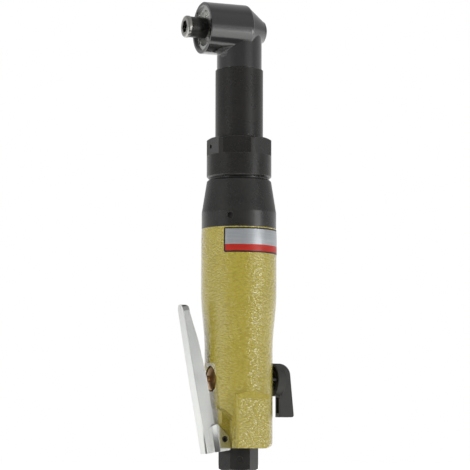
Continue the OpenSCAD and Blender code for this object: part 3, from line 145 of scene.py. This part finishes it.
def hammered_enamel():
    """Stoved hammer enamel over a cast aluminium handle.

    The paint draws into leathery wrinkles about 1.6 mm wide and 1 mm high, glossy on their tops, with
    painted shade in the hollows between them.
    They break every highlight into small crumbs. The paint's aluminium flake gives it more gloss
    than plain enamel has, which the coat stands for.
    """
    material, tree, shader, place = start("hammered_enamel", {
        "IOR": 1.5, "Specular IOR Level": 0.8, "Coat Weight": 0.8, "Coat Roughness": 0.13})
    squeezed = add(tree, "ShaderNodeMapping", {"Scale": (1, 1, 1.6)}, {"Vector": place})
    warp = add(tree, "ShaderNodeTexNoise", {"Scale": 1 / (2.6 * MM), "Detail": 2},
               {"Vector": (squeezed, 0)})
    bent = add(tree, "ShaderNodeMix", {"data_type": "RGBA", "blend_type": "LINEAR_LIGHT", 0: 1.3 * MM},
               {6: (squeezed, 0), 7: (warp, "Color")})
    swell = add(tree, "ShaderNodeTexVoronoi", {"feature": "F1", "Scale": 1 / (1.65 * MM)},
                {"Vector": (bent, 2)})
    fine = add(tree, "ShaderNodeTexNoise", {"Scale": 1 / (1.1 * MM), "Detail": 1},
               {"Vector": (bent, 2)})
    height = add(tree, "ShaderNodeMath", {"operation": "MULTIPLY_ADD", 1: 0.2},
                 {0: (fine, "Fac"), 2: (swell, "Distance")})
    bump = add(tree, "ShaderNodeBump", {"Strength": 1.0, "Distance": 0.26 * MM, "invert": True},
               {"Height": (height, 0)})
    cloud = add(tree, "ShaderNodeTexNoise", {"Scale": 1 / (22 * MM), "Detail": 3}, {"Vector": place})
    tone = add(tree, "ShaderNodeValToRGB",
               {"stops": [(NOISE_LOW, linear("#AB9C35")), (NOISE_HIGH, linear("#B1A23C"))]},
               {0: (cloud, "Fac")})
    # Painted shade: the base colour is darkened in the hollows between the wrinkles, where the height is
    # greatest.
    painted_crease_shade = add(tree, "ShaderNodeValToRGB",
                  {"stops": [(0.45, linear("#FFFFFF")), (1.0, linear("#A89C68"))]}, {0: (height, 0)})
    tone_with_crease_shade = add(tree, "ShaderNodeMix", {"data_type": "RGBA", "blend_type": "MULTIPLY", 0: 0.3},
                 {6: (tone, "Color"), 7: (painted_crease_shade, "Color")})
    rough = add(tree, "ShaderNodeMapRange",
                {"From Min": 0.3, "From Max": 1.1, "To Min": 0.14, "To Max": 0.26},
                {"Value": (height, 0)})
    link(tree, shader, {"Base Color": (tone_with_crease_shade, 2), "Roughness": (rough, 0), "Normal": (bump, 0),
                        "Coat Normal": (bump, 0)})
    return material


def turned_black_oxide(name, tone, roughness, gloss):
    """Black oxide on turned steel: a thin dark film that keeps the lathe's fine rings.

    The rings of a real cut are about 0.1 mm apart. They are drawn 0.6 mm apart, so that they show
    as a faint streak in the highlights. The film is worn a little lighter on sharp edges.
    """
    material, tree, shader, place = start(name, {"IOR": 1.5, "Specular IOR Level": gloss})
    stretched = add(tree, "ShaderNodeMapping", {"Scale": (8, 8, 1 / (0.6 * MM))}, {"Vector": place})
    rings = add(tree, "ShaderNodeTexNoise", {"Scale": 1, "Detail": 2}, {"Vector": (stretched, 0)})
    film = add(tree, "ShaderNodeTexNoise", {"Scale": 1 / (9 * MM), "Detail": 5}, {"Vector": place})
    edge = add(tree, "ShaderNodeBevel", {"samples": EDGE_SAMPLES, "Radius": 0.35 * MM})
    surface = add(tree, "ShaderNodeNewGeometry")
    flatness = add(tree, "ShaderNodeVectorMath", {"operation": "DOT_PRODUCT"},
                   {0: (edge, 0), 1: (surface, "Normal")})
    worn = add(tree, "ShaderNodeMapRange",
               {"From Min": 0.98, "From Max": 0.8, "To Min": 0, "To Max": 0.65},
               {"Value": (flatness, "Value")})
    shade = add(tree, "ShaderNodeValToRGB",
                {"stops": [(0.3, linear(tone)), (0.75, linear("#201F1D"))]}, {0: (film, "Fac")})
    colour = add(tree, "ShaderNodeMix", {"data_type": "RGBA", 7: linear("#66635D")},
                 {0: (worn, 0), 6: (shade, "Color")})
    rough = add(tree, "ShaderNodeMapRange",
                {"From Min": 0.25, "From Max": 0.75,
                 "To Min": roughness - 0.05, "To Max": roughness + 0.07},
                {"Value": (film, "Fac")})
    bump = add(tree, "ShaderNodeBump", {"Strength": 0.12, "Distance": 0.05 * MM},
               {"Height": (rings, "Fac"), "Normal": (edge, 0)})
    link(tree, shader, {"Base Color": (colour, 2), "Roughness": (rough, 0), "Normal": (bump, 0)})
    return material


def black_enamelled_casting():
    """Black stoving enamel on the cast angle head: glossy, with a faint orange peel of 0.8 mm."""
    material, tree, shader, place = start("black_enamelled_casting", {
        "IOR": 1.5, "Specular IOR Level": 1.0, "Coat Weight": 0.8, "Coat IOR": 1.6,
        "Coat Roughness": 0.09})
    peel = add(tree, "ShaderNodeTexNoise", {"Scale": 1 / (0.8 * MM), "Detail": 2}, {"Vector": place})
    cloud = add(tree, "ShaderNodeTexNoise", {"Scale": 1 / (14 * MM), "Detail": 4}, {"Vector": place})
    edge = add(tree, "ShaderNodeBevel", {"samples": EDGE_SAMPLES, "Radius": 0.5 * MM})
    bump = add(tree, "ShaderNodeBump", {"Strength": 0.2, "Distance": 0.06 * MM},
               {"Height": (peel, "Fac"), "Normal": (edge, 0)})
    tone = add(tree, "ShaderNodeValToRGB",
               {"stops": [(NOISE_LOW, linear("#0C0C0C")), (NOISE_HIGH, linear("#111110"))]},
               {0: (cloud, "Fac")})
    rough = add(tree, "ShaderNodeMapRange", {**NOISE_SPAN, "To Min": 0.15, "To Max": 0.2},
                {"Value": (cloud, "Fac")})
    link(tree, shader, {"Base Color": (tone, 0), "Roughness": (rough, 0), "Normal": (bump, 0),
                        "Coat Normal": (bump, 0)})
    return material


def polished_nickel():
    """Nickel plate on pressed steel, buffed along the lever: bright, with fine lengthwise hairlines.

    Buffing lines are about 0.02 mm wide. They are drawn 0.35 mm wide, so that they show at all.
    """
    material, tree, shader, place = start("polished_nickel", {"Metallic": 1.0})
    stretched = add(tree, "ShaderNodeMapping", {"Scale": (1 / (0.35 * MM), 1 / (0.35 * MM), 30)},
                    {"Vector": place})
    hairs = add(tree, "ShaderNodeTexNoise", {"Scale": 1, "Detail": 3}, {"Vector": (stretched, 0)})
    smudge = add(tree, "ShaderNodeTexNoise", {"Scale": 1 / (12 * MM), "Detail": 4}, {"Vector": place})
    edge = add(tree, "ShaderNodeBevel", {"samples": EDGE_SAMPLES, "Radius": 0.25 * MM})
    bump = add(tree, "ShaderNodeBump", {"Strength": 0.06, "Distance": 0.02 * MM},
               {"Height": (hairs, "Fac"), "Normal": (edge, 0)})
    tone = add(tree, "ShaderNodeValToRGB",
               {"stops": [(NOISE_LOW, linear("#CBCDCB")), (NOISE_HIGH, linear("#D0D1CE"))]},
               {0: (smudge, "Fac")})
    rough = add(tree, "ShaderNodeMapRange", {**NOISE_SPAN, "To Min": 0.15, "To Max": 0.19},
                {"Value": (smudge, "Fac")})
    link(tree, shader, {"Base Color": (tone, 0), "Roughness": (rough, 0), "Normal": (bump, 0)})
    return material


def ground_steel():
    """Bare ground steel of bearings, gears and shafts: grey, with grinding marks.

    Real grinding marks are finer than the render shows, so they are drawn 0.4 mm apart.
    """
    material, tree, shader, place = start("ground_steel", {"Metallic": 1.0})
    stretched = add(tree, "ShaderNodeMapping", {"Scale": (60, 60, 1 / (0.4 * MM))}, {"Vector": place})
    marks = add(tree, "ShaderNodeTexNoise", {"Scale": 1, "Detail": 2}, {"Vector": (stretched, 0)})
    cloud = add(tree, "ShaderNodeTexNoise", {"Scale": 1 / (6 * MM), "Detail": 3}, {"Vector": place})
    edge = add(tree, "ShaderNodeBevel", {"samples": EDGE_SAMPLES, "Radius": 0.15 * MM})
    bump = add(tree, "ShaderNodeBump", {"Strength": 0.1, "Distance": 0.03 * MM},
               {"Height": (marks, "Fac"), "Normal": (edge, 0)})
    tone = add(tree, "ShaderNodeValToRGB",
               {"stops": [(NOISE_LOW, linear("#A9A8A4")), (NOISE_HIGH, linear("#BBBAB6"))]},
               {0: (cloud, "Fac")})
    rough = add(tree, "ShaderNodeMapRange", {**NOISE_SPAN, "To Min": 0.22, "To Max": 0.34},
                {"Value": (cloud, "Fac")})
    link(tree, shader, {"Base Color": (tone, 0), "Roughness": (rough, 0), "Normal": (bump, 0)})
    return material


def turned_bronze():
    """Turned bearing bronze, slightly tarnished: warm brown with rings about the X axis.

    The tool leaves rings about 0.2 mm apart. They are drawn 0.9 mm apart, so that they show.
    """
    material, tree, shader, place = start("turned_bronze", {"Metallic": 1.0})
    rings = add(tree, "ShaderNodeTexWave",
                {"wave_type": "RINGS", "rings_direction": "X", "Scale": 1 / (3 * MM),
                 "Distortion": 0.5},
                {"Vector": place})
    tarnish = add(tree, "ShaderNodeTexNoise", {"Scale": 1 / (2.5 * MM), "Detail": 4},
                  {"Vector": place})
    bump = add(tree, "ShaderNodeBump", {"Strength": 0.08, "Distance": 0.03 * MM},
               {"Height": (rings, "Fac")})
    tone = add(tree, "ShaderNodeValToRGB",
               {"stops": [(NOISE_LOW, linear("#B0885A")), (NOISE_HIGH, linear("#CBA578"))]},
               {0: (tarnish, "Fac")})
    rough = add(tree, "ShaderNodeMapRange", {**NOISE_SPAN, "To Min": 0.36, "To Max": 0.5},
                {"Value": (tarnish, "Fac")})
    link(tree, shader, {"Base Color": (tone, 0), "Roughness": (rough, 0), "Normal": (bump, 0)})
    return material


def grained_nylon():
    """Glass filled nylon, moulded with a fine spark grain of 0.5 mm: matt charcoal."""
    material, tree, shader, place = start("grained_nylon", {"IOR": 1.53, "Specular IOR Level": 0.45})
    grain = add(tree, "ShaderNodeTexNoise", {"Scale": 1 / (0.5 * MM), "Detail": 2}, {"Vector": place})
    cloud = add(tree, "ShaderNodeTexNoise", {"Scale": 1 / (8 * MM), "Detail": 3}, {"Vector": place})
    edge = add(tree, "ShaderNodeBevel", {"samples": EDGE_SAMPLES, "Radius": 0.5 * MM})
    bump = add(tree, "ShaderNodeBump", {"Strength": 0.3, "Distance": 0.05 * MM},
               {"Height": (grain, "Fac"), "Normal": (edge, 0)})
    tone = add(tree, "ShaderNodeValToRGB",
               {"stops": [(NOISE_LOW, linear("#2C2C2A")), (NOISE_HIGH, linear("#363634"))]},
               {0: (cloud, "Fac")})
    rough = add(tree, "ShaderNodeMapRange", {**NOISE_SPAN, "To Min": 0.48, "To Max": 0.6},
                {"Value": (cloud, "Fac")})
    link(tree, shader, {"Base Color": (tone, 0), "Roughness": (rough, 0), "Normal": (bump, 0)})
    return material


def nitrile_rubber():
    """Moulded nitrile seals: near black, dull, with a faint bloom."""
    material, tree, shader, place = start("nitrile_rubber", {"IOR": 1.52})
    bloom = add(tree, "ShaderNodeTexNoise", {"Scale": 1 / (1.5 * MM), "Detail": 3}, {"Vector": place})
    tone = add(tree, "ShaderNodeValToRGB",
               {"stops": [(0.35, linear("#161616")), (0.75, linear("#242423"))]}, {0: (bloom, "Fac")})
    rough = add(tree, "ShaderNodeMapRange", {"To Min": 0.6, "To Max": 0.8}, {"Value": (bloom, "Fac")})
    link(tree, shader, {"Base Color": (tone, 0), "Roughness": (rough, 0)})
    return material


def phenolic_cloth():
    """Phenolic resin pressed with cotton cloth, for the vanes: brown, with a 0.8 mm weave."""
    material, tree, shader, place = start("phenolic_cloth", {"IOR": 1.6, "Roughness": 0.5})
    weave = add(tree, "ShaderNodeTexChecker",
                {"Scale": 1 / (0.8 * MM), "Color1": linear("#7A5530"), "Color2": linear("#6A4828")},
                {"Vector": place})
    bump = add(tree, "ShaderNodeBump", {"Strength": 0.2, "Distance": 0.03 * MM},
               {"Height": (weave, "Fac")})
    link(tree, shader, {"Base Color": (weave, "Color"), "Normal": (bump, 0)})
    return material


def printed_foil(name, light, dark, metallic, roughness):
    """Screen printed aluminium foil of the label plate: thin satin ink over a faint rolling grain.

    The grain of real foil is about 0.05 mm. It is drawn 0.5 mm apart, so that it shows at all.
    """
    material, tree, shader, place = start(name, {"Metallic": metallic, "IOR": 1.5})
    stretched = add(tree, "ShaderNodeMapping", {"Scale": (80, 80, 1 / (0.5 * MM))}, {"Vector": place})
    grain = add(tree, "ShaderNodeTexNoise", {"Scale": 1, "Detail": 3}, {"Vector": (stretched, 0)})
    tone = add(tree, "ShaderNodeValToRGB",
               {"stops": [(NOISE_LOW, linear(dark)), (NOISE_HIGH, linear(light))]}, {0: (grain, "Fac")})
    rough = add(tree, "ShaderNodeMapRange",
                {**NOISE_SPAN, "To Min": roughness - 0.04, "To Max": roughness + 0.06},
                {"Value": (grain, "Fac")})
    link(tree, shader, {"Base Color": (tone, 0), "Roughness": (rough, 0)})
    return material


enamel = hammered_enamel()
oxide = turned_black_oxide("turned_black_oxide", "#1F1E1D", 0.27, 0.55)
cap_oxide = turned_black_oxide("blued_cap_steel", "#151413", 0.27, 0.9)
inlet_oxide = turned_black_oxide("blued_inlet_steel", "#0B0B0A", 0.3, 0.4)
nickel = polished_nickel()
steel = ground_steel()
foil = printed_foil("silver_printed_foil", "#B9BCC0", "#A9ADB1", 0.55, 0.34)
red_ink = printed_foil("red_printed_foil", "#B82A1C", "#AC2216", 0.1, 0.38)
black_ink = printed_foil("black_printed_foil", "#1C1B1A", "#161514", 0.0, 0.42)

FINISH_OF_SLOT = {
    "painted_casting": enamel, "black_steel": oxide, "polished_steel": nickel,
    "machined_steel": steel, "bronze": turned_bronze(), "moulded_black": grained_nylon(),
    "seal_rubber": nitrile_rubber(), "vane_resin": phenolic_cloth(),
}
# Pieces whose finish is not their slot's
FINISH_OF_NODE = {
    "motor_cap": cap_oxide, "angle_head": black_enamelled_casting(), "reverse_valve": oxide,
    "inlet_bushing": inlet_oxide, "knob_stop_pin": oxide, "chuck_collar": steel,
    "bearing_retainer": nickel,
}

for part in frame["record"]["subparts"]:
    finish = FINISH_OF_NODE.get(part["node"], FINISH_OF_SLOT[part["material_slot"]])
    slots = nodes[part["node"]].data.materials
    slots.clear()
    slots.append(finish)


# Pieces that the CAD leaves out

def solid(name, mesh, material):
    """A new object in one material from a bmesh, which it uses up."""
    data = bpy.data.meshes.new(name)
    mesh.to_mesh(data)
    mesh.free()
    data.materials.append(material)
    return show(bpy.data.objects.new(name, data))


def piece(name, mesh, material, body, smooth=True):
    """A new object on a body of the frame."""
    bmesh.ops.recalc_face_normals(mesh, faces=mesh.faces)
    obj = solid(name, mesh, material)
    for face in obj.data.polygons:
        face.use_smooth = smooth
    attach(obj, body)


# The handle near its mouth, in mm: a cylinder up to TAPER_Z, then a slight draw to MOUTH_Z
BELLY_R, MOUTH_R = 20.9, 20.7
TAPER_Z, MOUTH_Z = 127, 133


def handle_radius(z):
    """Radius of the handle at height z, near its mouth, in mm."""
    share = max(0.0, (z - TAPER_Z) / (MOUTH_Z - TAPER_Z))
    return BELLY_R + (MOUTH_R - BELLY_R) * share


# Steps of a plate round the handle and up it, degrees in a step of its corners, and how deep its
# back lies in the paint, in mm
STEPS_AROUND, STEPS_UP, CORNER_TURN = 120, 6, 15
PLATE_SINK = 0.05


def corner_cut(inside, corner):
    """How much a rounded corner lowers the plate at a distance inside its end, in mm."""
    if inside >= corner:
        return 0
    return corner - math.sqrt(max(0.0, corner ** 2 - (corner - inside) ** 2))


def wrapped_plate(name, turn, height, corner, lift, material):
    """A thin plate bent round the handle, from turn[0] to turn[1] degrees and height[0] to height[1] mm,
    with rounded corners and its outer face lift mm over the paint."""
    low, high = height
    across = math.radians(turn[1] - turn[0]) * BELLY_R
    bends = [corner * (1 - math.cos(math.radians(a))) for a in range(0, 91, CORNER_TURN)]
    marks = sorted(set(bends) | {across - bend for bend in bends}
                   | {corner + (across - 2 * corner) * i / STEPS_AROUND for i in range(STEPS_AROUND + 1)})
    mesh = bmesh.new()
    grid = []
    for mark in marks:
        cut = corner_cut(min(mark, across - mark), corner)
        angle = math.radians(turn[0]) + mark / BELLY_R
        column = []
        for i in range(STEPS_UP + 1):
            z = low + cut + (high - low - 2 * cut) * i / STEPS_UP
            for rise in (lift, -PLATE_SINK):
                column.append(mesh.verts.new(polar(handle_radius(z) + rise, angle, z) * MM))
        grid.append(column)
    for left, right in zip(grid, grid[1:]):
        for k in range(0, 2 * STEPS_UP, 2):
            mesh.faces.new([left[k], right[k], right[k + 2], left[k + 2]])
            mesh.faces.new([left[k + 1], left[k + 3], right[k + 3], right[k + 1]])
        mesh.faces.new([left[0], left[1], right[1], right[0]])
        mesh.faces.new([left[-2], right[-2], right[-1], left[-1]])
    first, last = grid[0], grid[-1]
    for k in range(0, 2 * STEPS_UP, 2):
        mesh.faces.new([first[k], first[k + 2], first[k + 3], first[k + 1]])
        mesh.faces.new([last[k], last[k + 1], last[k + 3], last[k + 2]])
    piece(name, mesh, material, "tool_body", smooth=False)


# Label plate: black ground, with a plain silver field above a plain red band. Turns are in degrees
# round the handle, all else in mm.
LABEL_TURN = (224, 352)
LABEL_LOW, LABEL_HIGH = 118.7, 132.4
RED_TOP = LABEL_LOW + 4.4
BORDER = 0.8
GROUND_CORNER, FIELD_CORNER = 0.6, 0.15
GROUND_LIFT, FIELD_LIFT = 0.1, 0.13
border_turn = math.degrees(BORDER / BELLY_R)
field_turn = (LABEL_TURN[0] + border_turn, LABEL_TURN[1] - border_turn)
wrapped_plate("label_ground", LABEL_TURN, (LABEL_LOW, LABEL_HIGH), GROUND_CORNER, GROUND_LIFT,
              black_ink)
wrapped_plate("label_red_band", field_turn, (LABEL_LOW + BORDER, RED_TOP), FIELD_CORNER, FIELD_LIFT,
              red_ink)
wrapped_plate("label_silver_field", field_turn, (RED_TOP, LABEL_HIGH - BORDER), FIELD_CORNER, FIELD_LIFT,
              foil)

# Inlet thread, in mm: a quarter inch pipe thread of 1.34 mm pitch in the inlet's hole. The fade at
# either end is in steps.
THREAD_PITCH, THREAD_LOW, THREAD_TURNS = 1.34, 0.8, 7
HOLE_R, CREST, ROOT_OVERLAP = 5.9, 0.35, 0.02
CREST_HALF, ROOT_HALF = 0.12, 0.45
STEPS_PER_TURN, FADE_STEPS = 48, 12


def inlet_thread():
    """The crests of the inlet's thread: a ridge round the hole that fades out at both ends."""
    mesh = bmesh.new()
    last = THREAD_TURNS * STEPS_PER_TURN
    root = HOLE_R + ROOT_OVERLAP
    rings = []
    for i in range(last + 1):
        angle = 2 * math.pi * i / STEPS_PER_TURN
        z = THREAD_LOW + THREAD_PITCH * i / STEPS_PER_TURN
        crest = HOLE_R - CREST * min(1, i / FADE_STEPS, (last - i) / FADE_STEPS)
        shape = [(root, -ROOT_HALF), (crest, -CREST_HALF), (crest, CREST_HALF), (root, ROOT_HALF)]
        rings.append([mesh.verts.new(polar(r, angle, z + dz) * MM) for r, dz in shape])
    for one, two in zip(rings, rings[1:]):
        for k in range(4):
            mesh.faces.new([one[k], one[(k + 1) % 4], two[(k + 1) % 4], two[k]])
    mesh.faces.new(rings[0])
    mesh.faces.new(list(reversed(rings[-1])))
    piece("inlet_thread_crests", mesh, oxide, "tool_body")


inlet_thread()


# Studio

def studio_paper(name, colour, seen_lit=0.0, mirrored_lit=0.0):
    """Matt paper that glows as given where the camera or a mirror sees it; it keeps its shadows."""
    material, tree, shader, _ = start(name, {
        "Roughness": 0.9, "Specular IOR Level": 0.0, "Base Color": linear(colour),
        "Emission Color": (1, 1, 1, 1)})
    path = add(tree, "ShaderNodeLightPath")
    mirror = add(tree, "ShaderNodeMath", {"operation": "MAXIMUM"},
                 {0: (path, "Is Glossy Ray"), 1: (path, "Is Transmission Ray")})
    glow = add(tree, "ShaderNodeMath", {"operation": "MULTIPLY", 1: mirrored_lit}, {0: (mirror, 0)})
    glow = add(tree, "ShaderNodeMath", {"operation": "MULTIPLY_ADD", 1: seen_lit},
               {0: (path, "Is Camera Ray"), 2: (glow, 0)})
    link(tree, shader, {"Emission Strength": (glow, 0)})
    return material


FLOOR_R, FLOOR_SIDES = 6, 96
FLOOR_DROP = 0.05 * MM
disc = bmesh.new()
bmesh.ops.create_circle(disc, cap_ends=True, radius=FLOOR_R, segments=FLOOR_SIDES)
floor_paper = studio_paper("white_paper_floor", "#EDEDEB", seen_lit=0.72, mirrored_lit=0.55)
floor = solid("floor", disc, floor_paper)
floor.location.z = -FLOOR_DROP

card_paper = studio_paper("grey_card_paper", "#6E6E6E")


def grey_card(name, reach, left, right, steps, lift):
    """Grey card on the floor that only gloss sees, in place of the white paper.

    It runs from reach[0] to reach[1] metres out, and from left to right in degrees to the right of
    the camera's own direction.
    """
    mesh = bmesh.new()
    turns = [CAMERA_AZIMUTH + math.radians(left + (right - left) * i / steps) for i in range(steps + 1)]
    rows = [[mesh.verts.new(polar(r, turn)) for r in reach] for turn in turns]
    for one, two in zip(rows, rows[1:]):
        mesh.faces.new([one[0], one[1], two[1], two[0]])
    card = solid(name, mesh, card_paper)
    card.location.z = lift
    card.visible_camera = card.visible_diffuse = card.visible_shadow = False


grey_card("grey_card_ahead", (0.2, 4), -36, 36, 12, 0.2 * MM)
grey_card("grey_card_left", (0.04, 0.1), -104, -40, 8, 0.3 * MM)
grey_card("grey_card_right", (0.13, 0.28), 0, 200, 24, 0.3 * MM)

# The room, as gloss sees it: white behind the tool, a white card on either side, and grey between
# them, behind the camera. Angles are in degrees to the right of the camera's own direction.
ROOM_AROUND = [
    (-180, 1.0), (-128, 0.95), (-113, 0.52), (-90, 0.46), (-76, 0.4), (-64, 0.56), (-50, 0.52),
    (-38, 0.25), (-20, 0.16), (20, 0.16), (30, 0.35), (42, 0.72), (60, 0.9), (70, 0.7),
    (79, 0.38), (105, 0.6), (150, 1.0), (180, 1.0),
]
# Overhead it is grey, with a share of the walls' light. The walls turn to ceiling as the direction's
# rise goes from CEILING_LOW to CEILING_HIGH.
ROOM_OVERHEAD, WALL_SHARE = 0.25, 0.2
CEILING_LOW, CEILING_HIGH = 0.06, 0.2
# The room's strength on matt surfaces, and where the camera sees it
ROOM_ON_MATT, ROOM_SEEN = 0.33, 1.0


def soft_white_room():
    """World light: white to the camera, soft and even to matt surfaces, and a room to gloss."""
    world = bpy.data.worlds.new("soft_white_room")
    bpy.context.scene.world = world
    world.use_nodes = True
    sky = world.node_tree
    toward = (add(sky, "ShaderNodeTexCoord"), "Generated")
    ahead = add(sky, "ShaderNodeVectorMath", {"operation": "DOT_PRODUCT", 1: camera_side}, {0: toward})
    aside = add(sky, "ShaderNodeVectorMath", {"operation": "DOT_PRODUCT", 1: camera_right}, {0: toward})
    around = add(sky, "ShaderNodeMath", {"operation": "ARCTAN2"},
                 {0: (aside, "Value"), 1: (ahead, "Value")})
    share = add(sky, "ShaderNodeMapRange", {"From Min": -math.pi, "From Max": math.pi},
                {"Value": (around, 0)})
    stops = [(0.5 + angle / 360, (value, value, value, 1)) for angle, value in ROOM_AROUND]
    walls = add(sky, "ShaderNodeValToRGB", {"stops": stops}, {0: (share, 0)})
    overhead = add(sky, "ShaderNodeMath",
                   {"operation": "MULTIPLY_ADD", 1: WALL_SHARE, 2: ROOM_OVERHEAD},
                   {0: (walls, "Color")})
    upward = add(sky, "ShaderNodeSeparateXYZ", links={0: toward})
    ceiling = add(sky, "ShaderNodeMapRange",
                  {"interpolation_type": "SMOOTHSTEP", "From Min": CEILING_LOW,
                   "From Max": CEILING_HIGH},
                  {"Value": (upward, "Z")})
    mirrored = add(sky, "ShaderNodeMix", links={0: (ceiling, 0), 2: (walls, "Color"), 3: (overhead, 0)})
    path = add(sky, "ShaderNodeLightPath")
    mirror = add(sky, "ShaderNodeMath", {"operation": "MAXIMUM"},
                 {0: (path, "Is Glossy Ray"), 1: (path, "Is Transmission Ray")})
    room = add(sky, "ShaderNodeMix", {2: ROOM_ON_MATT}, {0: (mirror, 0), 3: (mirrored, 0)})
    level = add(sky, "ShaderNodeMix", {3: ROOM_SEEN}, {0: (path, "Is Camera Ray"), 2: (room, 0)})
    backdrop = sky.nodes["Background"]
    backdrop.inputs["Color"].default_value = (1, 1, 1, 1)
    link(sky, backdrop, {"Strength": (level, 0)})


soft_white_room()

LAMP_AIM_HEIGHT = 0.14


def softbox(name, angle, height, distance, size, power, in_gloss=False):
    """An area lamp at a compass angle in degrees round the tool, aimed at its middle."""
    data = bpy.data.lights.new(name, "AREA")
    data.shape = "RECTANGLE"
    data.size, data.size_y = size
    data.energy = power
    lamp = show(bpy.data.objects.new(name, data))
    lamp.location = polar(distance, math.radians(angle), height)
    lamp.visible_glossy = in_gloss
    aim(lamp, Vector((0, 0, LAMP_AIM_HEIGHT)))


softbox("right_low_softbox", 307, 0.1, 1.2, (0.4, 0.22), 1.5, in_gloss=True)
softbox("left_fill", 194, 0.7, 1.2, (0.4, 1.0), 7.5)
softbox("right_fill", 306, 0.6, 1.2, (0.4, 1.0), 6.5)
softbox("top_fill", 90, 1.5, 0.3, (1.2, 1.2), 8)

bpy.context.scene.view_settings.view_transform = "Standard"
